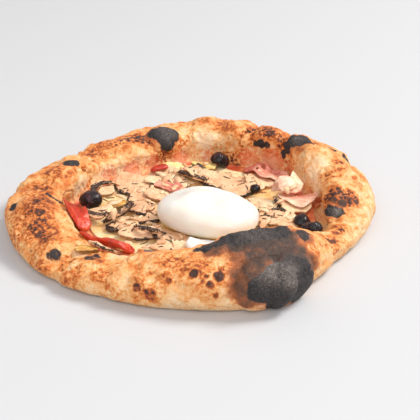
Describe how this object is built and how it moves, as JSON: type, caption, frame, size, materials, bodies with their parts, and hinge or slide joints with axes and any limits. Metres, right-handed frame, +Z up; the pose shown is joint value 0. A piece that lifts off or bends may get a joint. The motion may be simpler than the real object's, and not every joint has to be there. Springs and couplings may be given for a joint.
{
  "type": "wood-fired capricciosa pizza with whole burrata",
  "caption": "Round baked pizza with a high puffy charred rim, laid with mushroom slices, ham, artichoke, tomato and black olives round a ball of burrata.",
  "frame": {"origin": "centre of the outline in plan, on the flat underside", "axes": "+Z up from the flat underside, -Y towards the side that faces the viewer, +X to that viewer's right"},
  "size_m": [0.308, 0.293, 0.0453],
  "materials": {
    "crust": "baked flour dough, browned and charred in spots, matt",
    "tomato_sauce": "baked tomato sauce, moist",
    "tomato": "soft baked tomato flesh, wet",
    "melted_cheese": "melted cheese, oily",
    "burrata": "fresh soft cheese, smooth and moist",
    "mushroom": "cooked mushroom flesh, dark gills, damp",
    "ham": "thin cooked ham, moist",
    "artichoke": "cooked artichoke heart, oily",
    "olive": "black olive skin, shiny"
  },
  "bodies": {
    "root": {"artichoke_01": "artichoke", "artichoke_02": "artichoke", "artichoke_03": "artichoke", "artichoke_04": "artichoke", "burrata": "burrata", "crust": "crust", "ham_01": "ham", "ham_02": "ham", "ham_03": "ham", "ham_04": "ham", "melted_cheese": "melted_cheese", "mozzarella": "burrata", "mushroom_01": "mushroom", "mushroom_02": "mushroom", "mushroom_03": "mushroom", "mushroom_04": "mushroom", "mushroom_05": "mushroom", "mushroom_06": "mushroom", "mushroom_07": "mushroom", "mushroom_08": "mushroom", "mushroom_09": "mushroom", "mushroom_10": "mushroom", "mushroom_11": "mushroom", "mushroom_12": "mushroom", "mushroom_13": "mushroom", "mushroom_14": "mushroom", "mushroom_15": "mushroom", "mushroom_16": "mushroom", "mushroom_17": "mushroom", "mushroom_18": "mushroom", "mushroom_19": "mushroom", "mushroom_20": "mushroom", "mushroom_21": "mushroom", "mushroom_22": "mushroom", "mushroom_23": "mushroom", "mushroom_24": "mushroom", "mushroom_25": "mushroom", "mushroom_26": "mushroom", "mushroom_27": "mushroom", "mushroom_28": "mushroom", "olive_01": "olive", "olive_02": "olive", "olive_03": "olive", "olive_04": "olive", "olive_05": "olive", "tomato_01": "tomato", "tomato_02": "tomato", "tomato_03": "tomato", "tomato_sauce": "tomato_sauce"}
  },
  "joints": []
}
